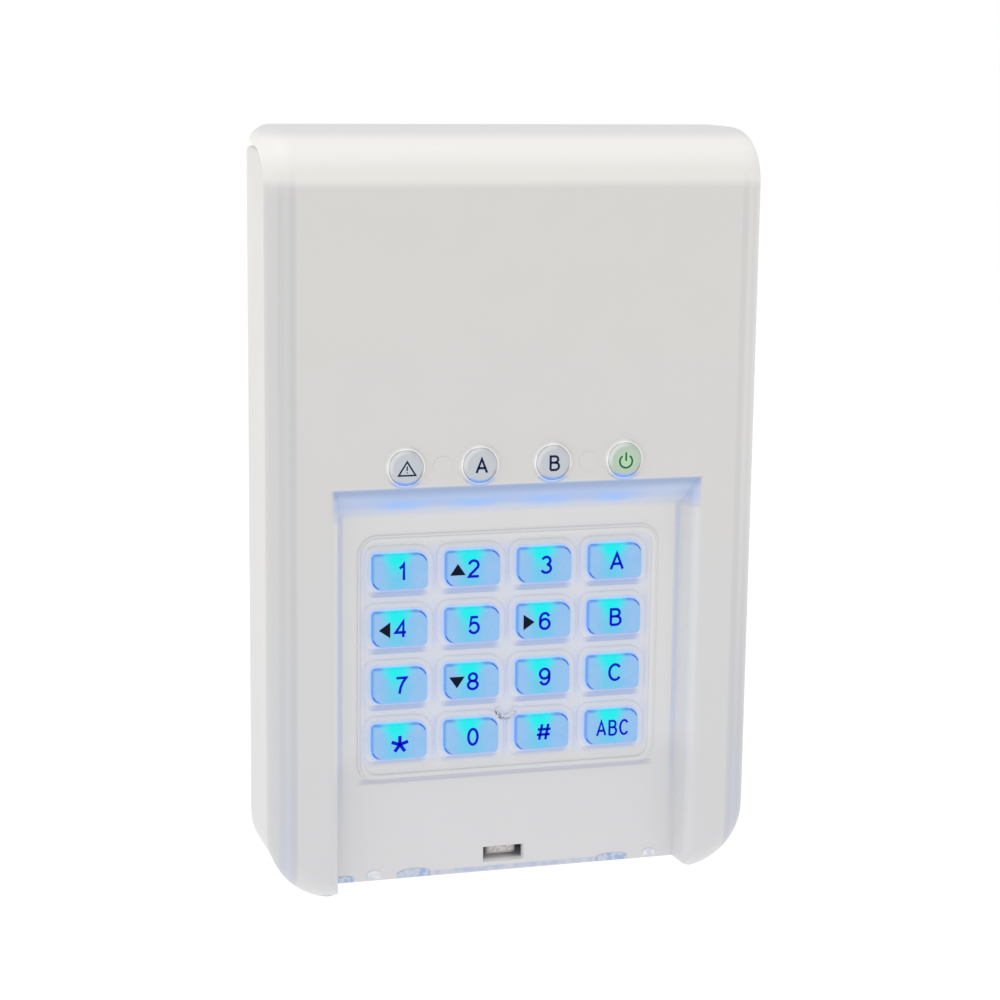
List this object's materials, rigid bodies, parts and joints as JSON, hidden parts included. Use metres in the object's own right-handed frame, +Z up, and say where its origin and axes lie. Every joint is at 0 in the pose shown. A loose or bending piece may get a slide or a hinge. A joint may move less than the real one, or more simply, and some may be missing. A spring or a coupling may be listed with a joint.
{
  "type": "alarm keypad panel",
  "caption": "Wall-mounted alarm keypad with a hinged frosted front cover, blue-lit push keys in an open-bottomed recess and round indicator lenses.",
  "frame": {"origin": "centre of the tray's rear face, which lies flat against the wall", "axes": "+Y out of the rear face into the wall, so the front faces -Y; +Z up along the panel; +X to the right of someone facing the panel"},
  "size_m": [0.1116, 0.0281, 0.1697],
  "materials": {
    "tray_plastic": "fine moulded texture, opaque white",
    "frosted_cover": "frosted translucent, softly glossy",
    "key_blue": "translucent, lit blue from behind",
    "lens_grey": "clear lens over a grey insert",
    "lens_green": "clear lens lit green from behind",
    "silicone": "milky silicone",
    "carbon_rubber": "carbon-filled rubber",
    "led_blue": "phosphor-tinted epoxy",
    "led_body": "clear epoxy",
    "board": "green solder mask over copper tracks",
    "black_plastic": "moulded black",
    "white_plastic": "smooth acetal",
    "terminal_green": "moulded green",
    "screw_steel": "zinc plated",
    "can_aluminium": "drawn can, satin"
  },
  "bodies": {
    "base": {"rear_base": "tray_plastic"},
    "latch": {"latch_lever": "tray_plastic"},
    "front": {"front_cover": "frosted_cover", "keypad_mat": "silicone", "contact_pads": "carbon_rubber", "key_leds": "led_blue", "led_shroud": "black_plastic", "indicator_leds": "led_body", "circuit_board": "board", "board_screws": "screw_steel", "terminal_block": "terminal_green", "terminal_screws": "screw_steel", "sounder": "black_plastic", "tamper_switch": "black_plastic", "controller_chip": "black_plastic", "capacitors": "can_aluminium", "crystal": "can_aluminium", "voltage_regulator": "black_plastic", "service_header": "black_plastic", "lens_warning": "lens_grey", "lens_a": "lens_grey", "lens_b": "lens_grey", "lens_power": "lens_green"},
    "tamper": {"tamper_plunger": "white_plastic"},
    "key_1": {"key_1": "key_blue"},
    "key_2": {"key_2": "key_blue"},
    "key_3": {"key_3": "key_blue"},
    "key_a": {"key_a": "key_blue"},
    "key_4": {"key_4": "key_blue"},
    "key_5": {"key_5": "key_blue"},
    "key_6": {"key_6": "key_blue"},
    "key_b": {"key_b": "key_blue"},
    "key_7": {"key_7": "key_blue"},
    "key_8": {"key_8": "key_blue"},
    "key_9": {"key_9": "key_blue"},
    "key_c": {"key_c": "key_blue"},
    "key_star": {"key_star": "key_blue"},
    "key_0": {"key_0": "key_blue"},
    "key_hash": {"key_hash": "key_blue"},
    "key_abc": {"key_abc": "key_blue"}
  },
  "joints": [
    {"name": "cover_hinge", "type": "hinge", "parent": "base", "child": "front", "pos_m": [0, -0.0021, 0.0834], "axis": [-1, 0, 0], "range_deg": [0, 75]},
    {"name": "latch_pivot", "type": "hinge", "parent": "base", "child": "latch", "pos_m": [-0.001, -0.0039, -0.079], "axis": [-1, 0, 0], "range_deg": [0, 7], "stiffness_Nm_per_rad": 0.05},
    {"name": "tamper_travel", "type": "slide", "parent": "front", "child": "tamper", "axis": [0, 1, 0], "range_m": [0, 0.002]},
    {"name": "key_1_press", "type": "slide", "parent": "front", "child": "key_1", "axis": [0, 1, 0], "range_m": [0, 0.0009], "stiffness_N_per_m": 1000},
    {"name": "key_2_press", "type": "slide", "parent": "front", "child": "key_2", "axis": [0, 1, 0], "range_m": [0, 0.0009], "stiffness_N_per_m": 1000},
    {"name": "key_3_press", "type": "slide", "parent": "front", "child": "key_3", "axis": [0, 1, 0], "range_m": [0, 0.0009], "stiffness_N_per_m": 1000},
    {"name": "key_a_press", "type": "slide", "parent": "front", "child": "key_a", "axis": [0, 1, 0], "range_m": [0, 0.0009], "stiffness_N_per_m": 1000},
    {"name": "key_4_press", "type": "slide", "parent": "front", "child": "key_4", "axis": [0, 1, 0], "range_m": [0, 0.0009], "stiffness_N_per_m": 1000},
    {"name": "key_5_press", "type": "slide", "parent": "front", "child": "key_5", "axis": [0, 1, 0], "range_m": [0, 0.0009], "stiffness_N_per_m": 1000},
    {"name": "key_6_press", "type": "slide", "parent": "front", "child": "key_6", "axis": [0, 1, 0], "range_m": [0, 0.0009], "stiffness_N_per_m": 1000},
    {"name": "key_b_press", "type": "slide", "parent": "front", "child": "key_b", "axis": [0, 1, 0], "range_m": [0, 0.0009], "stiffness_N_per_m": 1000},
    {"name": "key_7_press", "type": "slide", "parent": "front", "child": "key_7", "axis": [0, 1, 0], "range_m": [0, 0.0009], "stiffness_N_per_m": 1000},
    {"name": "key_8_press", "type": "slide", "parent": "front", "child": "key_8", "axis": [0, 1, 0], "range_m": [0, 0.0009], "stiffness_N_per_m": 1000},
    {"name": "key_9_press", "type": "slide", "parent": "front", "child": "key_9", "axis": [0, 1, 0], "range_m": [0, 0.0009], "stiffness_N_per_m": 1000},
    {"name": "key_c_press", "type": "slide", "parent": "front", "child": "key_c", "axis": [0, 1, 0], "range_m": [0, 0.0009], "stiffness_N_per_m": 1000},
    {"name": "key_star_press", "type": "slide", "parent": "front", "child": "key_star", "axis": [0, 1, 0], "range_m": [0, 0.0009], "stiffness_N_per_m": 1000},
    {"name": "key_0_press", "type": "slide", "parent": "front", "child": "key_0", "axis": [0, 1, 0], "range_m": [0, 0.0009], "stiffness_N_per_m": 1000},
    {"name": "key_hash_press", "type": "slide", "parent": "front", "child": "key_hash", "axis": [0, 1, 0], "range_m": [0, 0.0009], "stiffness_N_per_m": 1000},
    {"name": "key_abc_press", "type": "slide", "parent": "front", "child": "key_abc", "axis": [0, 1, 0], "range_m": [0, 0.0009], "stiffness_N_per_m": 1000}
  ],
  "couplings": [
    {"joint": "tamper_travel", "follows": "cover_hinge", "m_per_rad": 0.0015}
  ]
}
